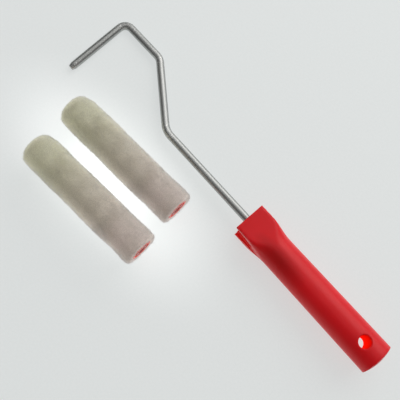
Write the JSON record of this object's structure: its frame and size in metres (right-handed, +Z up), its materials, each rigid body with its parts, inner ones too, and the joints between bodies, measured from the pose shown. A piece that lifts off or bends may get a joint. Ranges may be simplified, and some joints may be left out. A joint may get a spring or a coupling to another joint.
{
  "type": "mini paint roller set",
  "caption": "Bent steel rod roller frame with a moulded grip and hang hole, and loose pile sleeves that slip over its arm to roll paint in narrow places.",
  "frame": {"origin": "middle of the whole set's footprint, on the ground", "axes": "+X from the butt of the handle towards the rod's arm, +Y towards the loose sleeves, +Z up"},
  "size_m": [0.3096, 0.1304, 0.0321],
  "materials": {
    "handle_plastic": "glossy moulded polypropylene, slightly translucent",
    "zinc_rod": "drawn steel rod, zinc plated, scuffed at the bends",
    "pile": "short woven pile, off-white",
    "core_plastic": "natural polypropylene",
    "plug_plastic": "moulded polypropylene",
    "bush_plastic": "moulded polypropylene"
  },
  "bodies": {
    "frame": {"handle": "handle_plastic", "rod_frame": "zinc_rod"},
    "sleeve_1_hub": {"sleeve_1_rod_bush": "bush_plastic"},
    "sleeve_1_roller": {"sleeve_1_pile_cover": "pile", "sleeve_1_core_tube": "core_plastic", "sleeve_1_end_plug": "plug_plastic", "sleeve_1_tip_bearing": "core_plastic", "sleeve_1_closed_cap": "plug_plastic"},
    "sleeve_2_hub": {"sleeve_2_rod_bush": "bush_plastic"},
    "sleeve_2_roller": {"sleeve_2_pile_cover": "pile", "sleeve_2_core_tube": "core_plastic", "sleeve_2_end_plug": "plug_plastic", "sleeve_2_tip_bearing": "core_plastic", "sleeve_2_closed_cap": "plug_plastic"}
  },
  "joints": [
    {"name": "sleeve_1_lift", "type": "slide", "parent": "frame", "child": "sleeve_1_hub", "axis": [0, 0, 1], "range_m": [0, 0.06]},
    {"name": "sleeve_1_spin", "type": "hinge", "parent": "sleeve_1_hub", "child": "sleeve_1_roller", "pos_m": [0.00742, 0.04305, 0.01351], "axis": [-0.9966, -0.0828, 0], "continuous": true},
    {"name": "sleeve_2_lift", "type": "slide", "parent": "frame", "child": "sleeve_2_hub", "axis": [0, 0, 1], "range_m": [0, 0.06]},
    {"name": "sleeve_2_spin", "type": "hinge", "parent": "sleeve_2_hub", "child": "sleeve_2_roller", "pos_m": [0.01307, 0.00537, 0.01351], "axis": [-0.9974, -0.0715, 0], "continuous": true}
  ]
}
